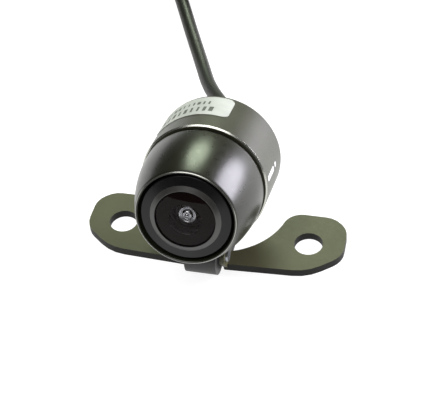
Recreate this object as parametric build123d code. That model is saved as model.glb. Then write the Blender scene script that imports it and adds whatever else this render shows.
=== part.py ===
from build123d import *
import math
import os

# Butterfly-bracket backup camera. Millimetres, +Z up out of the mounting surface.
# Origin: midway between the two mounting holes, on the bracket's underside.
# +X runs along the bracket, the lens looks towards -Y and upwards.

os.makedirs("parts", exist_ok=True)

# ---------------------------------------------------------------- driving dimensions
# bracket
HOLE_SPACING = 41.5     # between the two mounting holes
HOLE_D = 6.2            # clearance for an M6 or 1/4 inch number-plate screw
PLATE_T = 1.9           # bracket plate thickness
EAR_OUT = 7.65          # plate beyond the hole centre, outwards
EAR_BACK = 8.3          # plate behind the hole line
EAR_FRONT = 7.7         # plate in front of the hole line, at the ears
WAIST_FRONT = 8.8       # the same, at the middle
WAIST_BACK = 5.5        # rear edge of the waist, in front of the hole line
SCALLOP_GAP = 1.6       # the rear scallop is this much larger in radius than the housing
EDGE_ROUND = 0.3        # softened edges of the plate
WEB_BACK = 1.0          # how far the heel pad of the plate reaches behind the hole line

# tilting head, along its axis from the lip of the front shell
TILT = 17.5             # nose-up angle at rest
SHELL_LEN = 14.9        # lip to the front rim of the rear housing
HOUSING_LEN = 14.5      # front rim to rear face of the housing
HOUSING_R = 13.4
HOUSING_WALL = 1.5
SHELL_R = 12.9          # widest part of the barrel-shaped front shell
LIP_R = 10.4            # front edge of the shell
BEZEL_R = 9.4
LENS_R = 6.2            # front lens element
DOME_R = 40.0           # radius of its front surface
BARREL_R = 5.9          # threaded lens barrel
NECK_LEN = 4.7          # how far the shell's neck reaches into the housing
NECK_WALL = 1.4
BOARD_R = 10.4
BOARD_T = 1.0

# pivot
PIVOT_BACK = 15.51      # behind the lip, along the head's axis
PIVOT_DROP = 3.34       # below the housing's wall
FOOT_HALF = 3.4         # half the foot's width
FOOT_R = 4.6            # round end of the foot
FOOT_LIFT = 0.45        # foot above the mounting surface
WASHER_T = 0.3
LUG_T = 1.0
PIVOT_D = 2.0           # pivot screw
LUG_R = 2.4             # round top of each lug
LUG_FOOT = 2.2          # half the lug's length where it stands on the plate

# lead
CABLE_D = 3.4
GLAND_LEN = 7.0         # strain relief behind the housing
COIL_R = 18.5           # middle of the coil's turns
PLUG_R = 4.8
PLUG_LEN = 26.0

# clearances
SLIP = 0.05             # running fit, in radius or between sliding faces
HEEL_LEN = 4.2          # heel of the foot, where it stands on the plate
INNER_CORNER = 0.8      # plate corner between the heel pad and the rear scallop
EAR_FILLET = 4.2        # plate corner between each ear and the rear scallop
FIT = 0.1               # assembled fit
NOTCH_GAP = 0.55        # plate round the turning foot

# ---------------------------------------------------------------- derived places
HEAD_LEN = SHELL_LEN + HOUSING_LEN
PIVOT_Y = -8.54
PIVOT_Z = FOOT_R + FOOT_LIFT
TILT_RAD = math.radians(TILT)
PIVOT_UNDER = HOUSING_R + PIVOT_DROP
LIP_Y = PIVOT_Y - PIVOT_BACK * math.cos(TILT_RAD) + PIVOT_UNDER * math.sin(TILT_RAD)
LIP_Z = PIVOT_Z + PIVOT_BACK * math.sin(TILT_RAD) + PIVOT_UNDER * math.cos(TILT_RAD)
HEAD = Location((0, LIP_Y, LIP_Z), (-TILT, 0, 0))

written = []


def save(name, shape):
    """Writes one sub-part."""
    export_step(shape, f"parts/{name}.step")
    written.append(name)


def save_head(name, *solids):
    """Writes a sub-part of the head, drawn along +Y from the lip and then tilted into place."""
    placed = [HEAD * solid for solid in solids]
    save(name, placed[0] if len(placed) == 1 else Compound(placed))


def turned(*points):
    """A ring or disc turned about the head's axis, from (radius, distance behind the lip) points."""
    return revolve(make_face(Polyline(*points, close=True)), Axis.Y)


def rod(radius, start, end, x=0, z=0):
    """A round bar along the head's axis, from one distance behind the lip to another."""
    return Location((x, (start + end) / 2, z), (90, 0, 0)) * Cylinder(radius, end - start)


def block(width, height, start, end, x=0, z=0):
    """A rectangular block along the head's axis."""
    return Pos(x, (start + end) / 2, z) * Box(width, end - start, height)


def cross_bar(radius, x0, x1, y, z):
    """A round bar along X."""
    return Location(((x0 + x1) / 2, y, z), (0, 90, 0)) * Cylinder(radius, x1 - x0)


# ---------------------------------------------------------------- bracket
LUG_IN = FOOT_HALF + WASHER_T + SLIP
LUG_OUT = LUG_IN + LUG_T
LUG_Y = PIVOT_Y + LUG_FOOT + 0.3
NOTCH_R = FOOT_R + NOTCH_GAP


def plate_outline():
    """Both ears and the waist, before the rear scallop is cut."""
    ear = HOLE_SPACING / 2
    right = [
        (ear + 1.1, -EAR_FRONT - 0.1),
        (ear + EAR_OUT + 0.2, -EAR_FRONT + 5.3),
        (ear + EAR_OUT, EAR_BACK - 3.0),
        (ear + EAR_OUT - 3.2, EAR_BACK),
    ]
    radii = [10.0, 5.0, 4.4, 5.0]
    points = [(0, -WAIST_FRONT)] + right + [(-x, y) for x, y in reversed(right)]
    return make_face(FilletPolyline(*points, radius=[60.0] + radii + radii[::-1], close=True))


def mount_plate():
    ear = HOLE_SPACING / 2
    scallop_r = HOUSING_R + SCALLOP_GAP
    scallop = Pos(0, scallop_r - WAIST_BACK) * Circle(scallop_r)
    sketch = plate_outline() - scallop
    corner_x = math.sqrt(scallop_r ** 2 - (EAR_BACK + WAIST_BACK - scallop_r) ** 2)
    corners = [v for v in sketch.vertices() if abs(abs(v.X) - corner_x) < 0.01 and v.Y > 0]
    sketch = fillet(corners, EAR_FILLET)
    heel_pad = Pos(0, (WEB_BACK - WAIST_FRONT + 1) / 2) * RectangleRounded(
        2 * LUG_OUT, WEB_BACK + WAIST_FRONT - 1, 1.0)
    sketch += heel_pad
    inner = [v for v in sketch.vertices() if abs(abs(v.X) - LUG_OUT) < 0.01 and v.Y < -1]
    sketch = fillet(inner, INNER_CORNER)
    plate = extrude(sketch, PLATE_T)
    plate = fillet(plate.faces().sort_by(Axis.Z)[-1].edges(), EDGE_ROUND)
    for side in (-1, 1):
        plate -= Pos(side * ear, 0, PLATE_T / 2) * Cylinder(HOLE_D / 2, 2 * PLATE_T)
        plate += lug(side)
    plate -= cross_bar(NOTCH_R, -LUG_IN, LUG_IN, PIVOT_Y, PIVOT_Z)
    plate -= Pos(0, PIVOT_Y - NOTCH_R, 0) * Box(2 * LUG_IN, 2 * NOTCH_R, 4 * PLATE_T)
    return plate


def lug(side):
    """One upstanding lug beside the foot, bored for the pivot screw."""
    profile = Plane.YZ * make_hull(
        (Pos(PIVOT_Y, PIVOT_Z) * Circle(LUG_R)).edges()
        + (Pos(LUG_Y, PLATE_T / 2) * RectangleRounded(2 * LUG_FOOT, PLATE_T - 0.5, 0.3)).edges())
    x0 = LUG_IN if side > 0 else -LUG_OUT
    body = Pos(x0, 0, 0) * extrude(profile, LUG_T)
    return body - cross_bar(PIVOT_D / 2 + SLIP, x0 - 1, x0 + LUG_T + 1, PIVOT_Y, PIVOT_Z)


SCREW_HEAD_R = 1.9
SCREW_HEAD_T = 1.3


def pivot_screw():
    """Pan-head screw along X with its head on the -X lug and a cross recess."""
    shank = cross_bar(PIVOT_D / 2, -LUG_OUT, LUG_OUT + 0.6, PIVOT_Y, PIVOT_Z)
    head = cross_bar(SCREW_HEAD_R, -LUG_OUT - SCREW_HEAD_T, -LUG_OUT, PIVOT_Y, PIVOT_Z)
    head = fillet(head.edges().sort_by(Axis.X)[0], 0.6)
    face_x = -LUG_OUT - SCREW_HEAD_T
    slots = Pos(face_x, PIVOT_Y, PIVOT_Z) * (Box(1.2, 2.2, 0.5) + Box(1.2, 0.5, 2.2))
    return shank + head - slots


save("mount_plate", mount_plate())
save("pivot_screw", pivot_screw())
washer = cross_bar(2.3, 0, WASHER_T - SLIP, 0, 0) - cross_bar(PIVOT_D / 2 + SLIP, -1, 1, 0, 0)
save("friction_washers", Compound([
    Pos(LUG_IN - WASHER_T + SLIP, PIVOT_Y, PIVOT_Z) * washer,
    Pos(-LUG_IN, PIVOT_Y, PIVOT_Z) * washer,
]))
END_CAP_T = 0.6
save("pivot_clip", cross_bar(1.5, LUG_OUT, LUG_OUT + END_CAP_T, PIVOT_Y, PIVOT_Z)
     - cross_bar(PIVOT_D / 2, LUG_OUT - 1, LUG_OUT + 2, PIVOT_Y, PIVOT_Z))

# ---------------------------------------------------------------- front shell and bezel
WIDEST = SHELL_LEN - 1.3                 # where the barrel is widest
NECK_R = HOUSING_R - 0.9 - FIT           # neck inside the housing's front counterbore
NECK_END = SHELL_LEN + NECK_LEN
SHELF = 1.75                             # the bezel seats this far behind the lip
SHELF_R = BEZEL_R - 1.2
LIP_BORE = BEZEL_R + 0.55
SHELL_BORE = NECK_R - NECK_WALL
arc_r = (WIDEST ** 2 + (SHELL_R - LIP_R) ** 2) / (2 * (SHELL_R - LIP_R))
half_s = WIDEST / 2
HALF_R = SHELL_R - arc_r + math.sqrt(arc_r ** 2 - half_s ** 2)
SEAL_GROOVE = (SHELL_LEN + 1.3, SHELL_LEN + 2.5)
GROOVE_R = NECK_R - 0.95
BOSS_AT = 9.0                            # bosses' distance from the axis
BOSS_R = 1.5
STACK = NECK_END - 1.4                   # front face of the sensor board


def around(angles, radius, solid_at):
    """One solid per angle, placed on a circle about the head's axis."""
    spots = [(radius * math.cos(math.radians(a)), radius * math.sin(math.radians(a)))
             for a in angles]
    return [solid_at(x, z) for x, z in spots]


def front_shell():
    with BuildPart() as shell:
        with BuildSketch():
            with BuildLine():
                Line((LIP_BORE, 0), (LIP_R - 0.12, 0))
                Line((LIP_R - 0.12, 0), (LIP_R, 0.12))
                ThreePointArc((LIP_R, 0.12), (HALF_R, half_s), (SHELL_R, WIDEST))
                ThreePointArc((SHELL_R, WIDEST), (SHELL_R - 0.17, WIDEST + 0.6),
                              (NECK_R, WIDEST + 0.95))
                Polyline((NECK_R, WIDEST + 0.95), (NECK_R, SEAL_GROOVE[0]),
                         (GROOVE_R, SEAL_GROOVE[0]), (GROOVE_R, SEAL_GROOVE[1]),
                         (NECK_R, SEAL_GROOVE[1]), (NECK_R, NECK_END),
                         (SHELL_BORE, NECK_END), (SHELL_BORE, WIDEST * 0.6),
                         (LIP_R - 0.9, 3.3), (SHELF_R, 3.3), (SHELF_R, SHELF),
                         (LIP_BORE, SHELF), (LIP_BORE, 0))
            make_face()
        revolve(axis=Axis.Y)
    body = shell.part
    for boss in around(BOSS_ANGLES, BOSS_AT, lambda x, z: rod(BOSS_R, 6.0, STACK, x, z)):
        body += boss
    body -= turned((0, 3.3), (BARREL_HEAD_R + 0.15, 3.3), (BARREL_HEAD_R + 0.15, 30), (0, 30))
    for pilot in around(BOSS_ANGLES, BOSS_AT,
                        lambda x, z: rod(BOARD_SCREW_R, STACK - 5, STACK + 1, x, z)):
        body -= pilot
    return body


BOSS_ANGLES = (90, 210, 330)
BARREL_HEAD_R = LENS_R + 1.2
BOARD_SCREW_R = 0.7

save_head("front_shell", front_shell())
COLLAR_R = LENS_R + 1.0                  # foot of the raised collar round the lens
COLLAR_TOP = LENS_R + 0.25
save_head("front_bezel", turned(
    (BEZEL_R, 0.15), (BEZEL_R, SHELF), (LENS_R + FIT, SHELF), (LENS_R + FIT, -0.35),
    (COLLAR_TOP, -0.5), (COLLAR_R, 0.15)))

# ---------------------------------------------------------------- lens
CUP = 2.35                               # front face of the lens barrel
ring_r = (BARREL_HEAD_R + LENS_R + FIT) / 2 + 0.05
save_head("lens_seal", Location((0, (SHELF + CUP) / 2, 0), (90, 0, 0))
          * Torus(ring_r, (CUP - SHELF) / 2))
THREAD_END = CUP + 12.3
BORE_1 = LENS_R - 1.6
BORE_2 = BORE_1 - 1.4
FRONT_SEAT = CUP + 1.25
STOP_AT = CUP + 6.6
save_head("lens_barrel", turned(
    (LENS_R + 0.05, CUP), (BARREL_HEAD_R, CUP), (BARREL_HEAD_R, CUP + 2.3),
    (BARREL_R, CUP + 2.3), (BARREL_R, THREAD_END), (BORE_2, THREAD_END), (BORE_2, STOP_AT),
    (BORE_1, STOP_AT), (BORE_1, FRONT_SEAT), (LENS_R + 0.05, FRONT_SEAT)))


LENS_APEX = -0.7                         # the dome stands this far in front of the lip
LENS_MIDDLE = 1.9                        # its thickness on the axis
HOLLOW_EDGE = BORE_1 - 0.2               # rim of its hollow back
HOLLOW_DEPTH = FRONT_SEAT - LENS_APEX - LENS_MIDDLE
HOLLOW_R = (HOLLOW_EDGE ** 2 + HOLLOW_DEPTH ** 2) / (2 * HOLLOW_DEPTH)


def front_lens():
    """Strongly curved meniscus: domed front, hollow back."""
    body = rod(LENS_R, LENS_APEX, FRONT_SEAT) & Pos(0, LENS_APEX + DOME_R) * Sphere(DOME_R)
    return body - Pos(0, LENS_APEX + LENS_MIDDLE + HOLLOW_R) * Sphere(HOLLOW_R)


save_head("front_lens", front_lens())
G2 = FRONT_SEAT + 0.9                    # second element, behind a spacer ring
second = turned((0, G2), (1.5, G2 - 0.1), (BORE_1 - 0.05, G2), (BORE_1 - 0.05, G2 + 1.8),
                (BORE_1 - 1.4, G2 + 1.8), (BORE_1 - 3.0, G2 + 1.1), (0, G2 + 0.9))
G3 = STOP_AT + 0.3
third = turned((0, G3 + 0.1), (BORE_2 - 0.05, G3 + 0.6), (BORE_2 - 0.05, G3 + 2.0),
               (0, G3 + 2.5))
fourth = turned((0, G3 + 2.7), (BORE_2 - 0.05, G3 + 2.8), (BORE_2 - 0.05, G3 + 4.2),
                (1.5, G3 + 4.5), (0, G3 + 4.6))
save_head("inner_lenses", second, third, fourth)
save_head("lens_spacers",
          turned((BORE_1 - 0.05, FRONT_SEAT), (BORE_1 - 0.05, G2 - 0.1),
                 (BORE_1 - 0.9, G2 - 0.1), (BORE_1 - 0.9, FRONT_SEAT)),
          turned((BORE_1 - 0.05, G2 + 1.8), (BORE_1 - 0.05, STOP_AT - 0.3),
                 (BORE_1 - 1.2, STOP_AT - 0.3), (BORE_1 - 1.2, G2 + 1.8)),
          turned((BORE_2, G3 + 4.5), (BORE_2, THREAD_END), (BORE_2 - 1.0, THREAD_END),
                 (BORE_2 - 1.0, G3 + 4.6)))
save_head("aperture_stop", turned((1.1, STOP_AT - 0.3), (BORE_1 - 0.05, STOP_AT - 0.3),
                                  (BORE_1 - 0.05, STOP_AT), (1.1, STOP_AT)))

# ---------------------------------------------------------------- sensor and boards
HOLDER_R = 7.3
SENSOR = 7.0
POCKET = SENSOR + 1.2
HOLDER_FOOT = STACK - 3.4
holder = turned((BARREL_R + SLIP, CUP + 6.0), (BARREL_HEAD_R - 0.2, CUP + 6.0),
                (HOLDER_R, CUP + 8.0), (HOLDER_R, STACK), (0, STACK), (0, HOLDER_FOOT + 0.6),
                (BARREL_R + SLIP, HOLDER_FOOT + 0.6))
holder -= block(POCKET, POCKET, HOLDER_FOOT + 1.1, STACK + 1)
holder -= block(5.6, 5.6, HOLDER_FOOT - 1, STACK + 1)
HOLDER_SCREW_AT = 6.1
HOLDER_SCREW_R = 0.5
for side in (-1, 1):
    holder -= rod(HOLDER_SCREW_R, STACK - 2.2, STACK + 1, side * HOLDER_SCREW_AT)
save_head("lens_holder", holder)
save_head("ir_cut_filter", block(6.6, 6.6, HOLDER_FOOT + 1.1, HOLDER_FOOT + 1.6))
save_head("sensor_glass", block(SENSOR - 0.8, SENSOR - 0.8, STACK - 1.5, STACK - 1.1))
save_head("image_sensor", block(SENSOR, SENSOR, STACK - 1.1, STACK))

BOARD_GAP = 3.4
REAR_BOARD = STACK + BOARD_T + BOARD_GAP
SPACER_R = 1.25


def board(start):
    """Round circuit board with the three screw holes."""
    disc = rod(BOARD_R, start, start + BOARD_T)
    for hole in around(BOSS_ANGLES, BOSS_AT,
                       lambda x, z: rod(BOARD_SCREW_R + SLIP, start - 1, start + 2, x, z)):
        disc -= hole
    return disc


sensor_board = board(STACK)
for side in (-1, 1):
    sensor_board -= rod(HOLDER_SCREW_R + SLIP, STACK - 1, STACK + 2, side * HOLDER_SCREW_AT)
save_head("sensor_board", sensor_board)
save_head("power_board", board(REAR_BOARD))
save_head("holder_screws", *[
    rod(HOLDER_SCREW_R, STACK - 2.0, STACK + BOARD_T, side * HOLDER_SCREW_AT)
    + rod(0.9, STACK + BOARD_T, STACK + BOARD_T + 0.6, side * HOLDER_SCREW_AT)
    for side in (-1, 1)])
save_head("board_spacers", *around(
    BOSS_ANGLES, BOSS_AT,
    lambda x, z: rod(SPACER_R, STACK + BOARD_T, REAR_BOARD, x, z)
    - rod(BOARD_SCREW_R + SLIP, STACK, REAR_BOARD + 1, x, z)))
SCREW_TOP = REAR_BOARD + BOARD_T
save_head("board_screws", *around(
    BOSS_ANGLES, BOSS_AT,
    lambda x, z: rod(BOARD_SCREW_R, STACK - 4.5, SCREW_TOP, x, z)
    + rod(1.3, SCREW_TOP, SCREW_TOP + 0.8, x, z)))
GAP_FRONT = STACK + BOARD_T
save_head("board_header", block(6.0, 1.6, GAP_FRONT, REAR_BOARD, 0, -6.6))
save_head("video_chips",
          block(5.0, 5.0, GAP_FRONT, GAP_FRONT + 0.9, 0.6, 1.0),
          block(3.0, 2.4, GAP_FRONT, GAP_FRONT + 0.8, -4.6, 2.6))
save_head("power_parts",
          rod(1.5, REAR_BOARD - 2.6, REAR_BOARD, -4.4, -1.5),
          rod(1.5, REAR_BOARD - 2.6, REAR_BOARD, 4.6, -1.8),
          block(2.6, 1.6, REAR_BOARD - 1.2, REAR_BOARD, 0.4, 4.8))

# ---------------------------------------------------------------- rear housing
HOUSING_BORE = HOUSING_R - HOUSING_WALL
COUNTERBORE = NECK_R + FIT
REAR_IN = HEAD_LEN - HOUSING_WALL
GLAND_R = CABLE_D / 2 + 0.9
RIM = 0.28                               # bright turned chamfer on the front rim
FOOT_SCREW_R = 0.8
FOOT_SCREWS = (NECK_END + 1.6, NECK_END + 4.3)
FOOT_PAD_END = NECK_END + 6.2
PAD_T = 1.3
SOLE = FOOT_PAD_END - 1.2                # where the heel stands on the plate


def radial_bar(radius, along, low, high):
    """A round bar below the axis, between two distances from it."""
    return Pos(0, along, -(low + high) / 2) * Cylinder(radius, high - low)


housing = turned(
    (COUNTERBORE, SHELL_LEN), (HOUSING_R - RIM, SHELL_LEN), (HOUSING_R, SHELL_LEN + RIM),
    (HOUSING_R, HEAD_LEN - 0.4), (HOUSING_R - 0.4, HEAD_LEN), (GLAND_R, HEAD_LEN),
    (GLAND_R, REAR_IN), (HOUSING_BORE, REAR_IN), (HOUSING_BORE, NECK_END + 0.15),
    (COUNTERBORE, NECK_END + 0.15))
for along in FOOT_SCREWS:
    housing -= radial_bar(FOOT_SCREW_R + SLIP, along, HOUSING_BORE - 2, HOUSING_R + 1)
save_head("rear_housing", housing)
save_head("housing_seal", Location((0, sum(SEAL_GROOVE) / 2, 0), (90, 0, 0))
          * Torus((GROOVE_R + COUNTERBORE) / 2, (COUNTERBORE - GROOVE_R) / 2 - 0.01))


def tilt_foot():
    """Round-ended foot under the housing, with a saddle pad and a heel that stops on the plate."""
    pad_low = -(HOUSING_R + PAD_T)
    heel_front = SOLE - HEEL_LEN
    plate_top = PLATE_T + SLIP

    def down_to_plate(along):
        """The head's own height where a line across it meets the plate's top face."""
        return (plate_top - LIP_Z + along * math.sin(TILT_RAD)) / math.cos(TILT_RAD)

    pad = [(SHELL_LEN + 0.4, -HOUSING_R + 2), (FOOT_PAD_END, -HOUSING_R + 2),
           (FOOT_PAD_END, pad_low), (SOLE, pad_low - 0.2), (SOLE, down_to_plate(SOLE)),
           (heel_front, down_to_plate(heel_front)), (PIVOT_BACK + FOOT_R, -PIVOT_UNDER + 0.4),
           (PIVOT_BACK, -PIVOT_UNDER), (PIVOT_BACK - FOOT_R * 0.7, -PIVOT_UNDER + 0.6)]
    side = make_face(Polyline(*pad, close=True)) + Pos(PIVOT_BACK, -PIVOT_UNDER) * Circle(FOOT_R)
    body = Pos(-FOOT_HALF, 0, 0) * extrude(Plane.YZ * side, 2 * FOOT_HALF)
    body -= rod(HOUSING_R, 0, HEAD_LEN + 3)
    body -= cross_bar(PIVOT_D / 2 + SLIP, -FOOT_HALF - 1, FOOT_HALF + 1, PIVOT_BACK, -PIVOT_UNDER)
    for along in FOOT_SCREWS:
        body -= radial_bar(FOOT_SCREW_R, along, HOUSING_R - 1, HOUSING_R + PAD_T + 0.6)
    return body


save_head("tilt_foot", tilt_foot())
save_head("foot_screws", *[
    radial_bar(FOOT_SCREW_R, along, HOUSING_BORE - 0.5, HOUSING_R + PAD_T + 0.5)
    + radial_bar(1.4, along, HOUSING_BORE - 1.0, HOUSING_BORE - 0.15)
    for along in FOOT_SCREWS])

# ---------------------------------------------------------------- lead inside the housing
GLAND_END = HEAD_LEN + GLAND_LEN
save_head("cable_gland", turned(
    (CABLE_D / 2, REAR_IN - 0.7), (GLAND_R + 0.8, REAR_IN - 0.7), (GLAND_R + 0.8, REAR_IN),
    (GLAND_R, REAR_IN), (GLAND_R, HEAD_LEN), (GLAND_R + 0.9, HEAD_LEN),
    (GLAND_R + 0.9, HEAD_LEN + 1.0), (GLAND_R, HEAD_LEN + 1.3),
    (CABLE_D / 2 + 0.45, GLAND_END), (CABLE_D / 2, GLAND_END)))
INNER_END = REAR_IN - 0.9
save_head("cable_stub", rod(CABLE_D / 2, INNER_END, GLAND_END))
WIRE_R = 0.4
WIRE_XY = [(-1.2, 0), (-0.4, 0), (0.4, 0), (1.2, 0)]
SOCKET_BACK = SCREW_TOP + 1.3
save_head("wire_socket", block(5.0, 2.6, SCREW_TOP, SOCKET_BACK, 0, 0))
save_head("wire_plug", block(4.2, 2.0, SOCKET_BACK, SOCKET_BACK + 0.7, 0, 0))
save_head("inner_wires", *[rod(WIRE_R - 0.02, SOCKET_BACK + 0.7, INNER_END, x, z)
                           for x, z in WIRE_XY])

# ---------------------------------------------------------------- label
LABEL_T = 0.12
LABEL_FRONT = 20.0
LABEL_BACK = 28.4
LABEL_TURN = (-60, 16)                   # from the top of the housing, towards +X


def label():
    """Thin rounded sticker wrapped on the housing."""
    tube = turned((HOUSING_R, LABEL_FRONT), (HOUSING_R + LABEL_T, LABEL_FRONT),
                  (HOUSING_R + LABEL_T, LABEL_BACK), (HOUSING_R, LABEL_BACK))
    middle = sum(LABEL_TURN) / 2
    half = (LABEL_TURN[1] - LABEL_TURN[0]) / 2
    width = 2 * HOUSING_R * math.sin(math.radians(half))
    outline = RectangleRounded(width, LABEL_BACK - LABEL_FRONT - 0.002, 1.6)
    cutter = extrude(outline, 2 * HOUSING_R)
    lie = Location((0, (LABEL_FRONT + LABEL_BACK) / 2, 0)) * Rotation(0, middle, 0)
    return (tube & (lie * cutter)).solids()[0]


save_head("serial_label", label())

# ---------------------------------------------------------------- lead outside


def head_point(along):
    """A point on the head's axis, in the bracket's frame."""
    return (0, LIP_Y + along * math.cos(TILT_RAD), LIP_Z - along * math.sin(TILT_RAD))


FLOOR = CABLE_D / 2
COIL_CENTRE = (-17.0, 103.8)
COIL_HEIGHT = 2 * CABLE_D
OUTER_TURN = COIL_R + CABLE_D / 2
FIRST_RUN = 7.6
ROUTE = [
    head_point(GLAND_END),
    head_point(GLAND_END + FIRST_RUN),
    (-4.3, 31.4, 9.4),
    (-10.8, 41.9, 5.5),
    (-15.3, 52.6, 2.9),
    (-21.3, 65.7, 1.75),
    (-27.2, 78.6, FLOOR),
    (-32.6, 89.7, FLOOR),
    (-36.0, 97.4, FLOOR),
]
TAIL_TOP = COIL_HEIGHT - FLOOR
TAIL = [(COIL_CENTRE[0] + along, COIL_CENTRE[1] + out, height) for along, out, height in [
    (-4.0, OUTER_TURN, TAIL_TOP),
    (3.0, OUTER_TURN + 0.3, TAIL_TOP),
    (9.5, OUTER_TURN + 2.7, PLUG_R),
    (16.5, OUTER_TURN + 2.7, PLUG_R),
]]


def lead(points, name):
    """A tube along straight runs joined by the largest tangent arcs they have room for."""
    runs = [Vector(*b) - Vector(*a) for a, b in zip(points, points[1:])]
    radii = []
    for before, after in zip(runs, runs[1:]):
        turn = math.radians(before.get_angle(after))
        radii.append(0.45 * min(before.length, after.length) / math.tan(turn / 2))
    path = FilletPolyline(*points, radius=radii)
    section = Plane(origin=path @ 0, z_dir=path % 0) * Circle(CABLE_D / 2)
    tube = sweep(section, path=path)
    print(name, "radii", [round(r, 1) for r in radii], "runs", [round(r.length, 1) for r in runs],
          "length", round(path.length, 1), "volume / section x length",
          round(tube.volume / (math.pi * (CABLE_D / 2) ** 2 * path.length), 4))
    return tube


save("camera_cable", lead(ROUTE, "camera_cable"))
save("cable_tail", lead(TAIL, "cable_tail"))
coil = Pos(*COIL_CENTRE, COIL_HEIGHT / 2) * (
    Cylinder(COIL_R + CABLE_D, COIL_HEIGHT) - Cylinder(COIL_R - CABLE_D, COIL_HEIGHT))
coil = fillet(coil.edges().filter_by(GeomType.CIRCLE), 1.3)
save("cable_coil", coil)

TIE_T = 0.6
TIE_W = 4.5
tie_x = COIL_CENTRE[0] + COIL_R
tie = Pos(tie_x, COIL_CENTRE[1], (COIL_HEIGHT + TIE_T) / 2) * (
    Box(2 * CABLE_D + 2 * TIE_T, TIE_W, COIL_HEIGHT + TIE_T))
tie = fillet(tie.edges().filter_by(Axis.Y), 1.5)
tie -= Pos(tie_x, COIL_CENTRE[1], COIL_HEIGHT / 2 + TIE_T / 2) * Box(
    2 * CABLE_D - 0.1, TIE_W + 1, COIL_HEIGHT - TIE_T)
save("coil_tie", tie)

# moulded plug along +X from the end of the tail
PLUG_AT = Location((TAIL[-1][0], TAIL[-1][1], TAIL[-1][2]), (0, 0, -90))
NOSE_R = PLUG_R - 1.5
CONTACT_R = 0.5
BOOT = 9.0


def at_plug(solid):
    return PLUG_AT * solid


plug = turned((0, 0), (CABLE_D / 2 + 0.5, 0), (PLUG_R - 0.9, BOOT - 1), (PLUG_R, BOOT),
              (PLUG_R, PLUG_LEN - 5), (PLUG_R - 0.5, PLUG_LEN - 4.6),
              (PLUG_R - 0.5, PLUG_LEN), (NOSE_R, PLUG_LEN), (NOSE_R, PLUG_LEN - 4), (0, PLUG_LEN - 4))
for i in range(4):
    at = BOOT + 2 + 2.2 * i
    plug -= turned((PLUG_R - 0.4, at), (PLUG_R + 1, at), (PLUG_R + 1, at + 1), (PLUG_R - 0.4, at + 1))
save("cable_plug", at_plug(plug))
CONTACT_SPOTS = [(1.5, 0), (-1.5, 0), (0, 1.5), (0, -1.5)]
insert = rod(NOSE_R, PLUG_LEN - 4, PLUG_LEN + 3.5)
insert -= block(1.0, 1.0, PLUG_LEN, PLUG_LEN + 5, 0, NOSE_R)
contacts = []
for x, z in CONTACT_SPOTS:
    insert -= rod(CONTACT_R + 0.2, PLUG_LEN - 3, PLUG_LEN + 5, x, z)
    contacts.append(rod(CONTACT_R + 0.2, PLUG_LEN - 3, PLUG_LEN + 3.2, x, z)
                    - rod(CONTACT_R, PLUG_LEN - 1, PLUG_LEN + 5, x, z))
save("plug_insert", at_plug(insert))
save("plug_contacts", Compound([at_plug(c) for c in contacts]))

print(len(written), "sub-parts")
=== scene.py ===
import math

import bmesh
import bpy
from mathutils import Matrix, Vector


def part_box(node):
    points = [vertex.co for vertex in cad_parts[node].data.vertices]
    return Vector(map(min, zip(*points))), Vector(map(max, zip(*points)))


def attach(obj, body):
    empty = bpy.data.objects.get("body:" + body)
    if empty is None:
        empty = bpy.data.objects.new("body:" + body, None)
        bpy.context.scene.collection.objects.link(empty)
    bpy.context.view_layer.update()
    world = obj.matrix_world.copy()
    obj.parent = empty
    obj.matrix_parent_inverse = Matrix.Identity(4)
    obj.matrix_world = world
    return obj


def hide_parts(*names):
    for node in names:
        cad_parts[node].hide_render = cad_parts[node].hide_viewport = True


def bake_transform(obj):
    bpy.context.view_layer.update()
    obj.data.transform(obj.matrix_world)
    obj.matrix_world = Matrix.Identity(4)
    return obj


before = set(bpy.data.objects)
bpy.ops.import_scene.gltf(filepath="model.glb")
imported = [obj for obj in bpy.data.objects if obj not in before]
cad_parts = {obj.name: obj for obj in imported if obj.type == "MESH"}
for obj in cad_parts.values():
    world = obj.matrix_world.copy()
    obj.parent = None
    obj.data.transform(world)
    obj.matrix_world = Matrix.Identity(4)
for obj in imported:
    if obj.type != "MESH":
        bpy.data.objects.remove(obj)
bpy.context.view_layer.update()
scene = bpy.context.scene
MM = 0.001

# ------------------------------------------------------------------------------- camera
# A long lens looks down on the head from in front and a little to its right,
# rolled a few degrees, so that both ears of the bracket show.
AIM = Vector((-1.32, 5.68, 6.00)) * MM
AWAY = 312.5 * MM
AZIMUTH, ELEVATION, ROLL = 17.42, 46.04, -5.945
FOCAL_LENGTH = 120.3


def direction(azimuth, elevation):
    """The way from the object towards a place at that azimuth and height, in degrees."""
    a, e = math.radians(azimuth), math.radians(elevation)
    return Vector((math.sin(a) * math.cos(e), -math.cos(a) * math.cos(e), math.sin(e)))


back = direction(AZIMUTH, ELEVATION)
level = Vector((0, 0, 1)).cross(back).normalized()
turn = Matrix.Rotation(math.radians(ROLL), 3, back)
axes = Matrix((turn @ level, turn @ back.cross(level), back)).transposed()
camera = bpy.data.objects.new("camera", bpy.data.cameras.new("camera"))
scene.collection.objects.link(camera)
camera.matrix_world = Matrix.Translation(AIM + back * AWAY) @ axes.to_4x4()
camera.data.lens = FOCAL_LENGTH
camera.data.clip_start = 0.01
scene.camera = camera

# ------------------------------------------------------------------------------- lead
# Round 3.4 mm four-core lead in soft black PVC, extruded, so it is satin with a fine grain.
# It leaves the strain relief straight and drops to the floor. The put-away length is wound
# into a little over four turns, in two layers of two with the last one crossing on top.
LEAD_R = 1.7


def colour(hex_code):
    """An sRGB hex value as a linear colour."""
    shares = [int(hex_code[i:i + 2], 16) / 255 for i in (1, 3, 5)]
    return [s / 12.92 if s <= 0.04045 else ((s + 0.055) / 1.055) ** 2.4 for s in shares] + [1]


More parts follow.
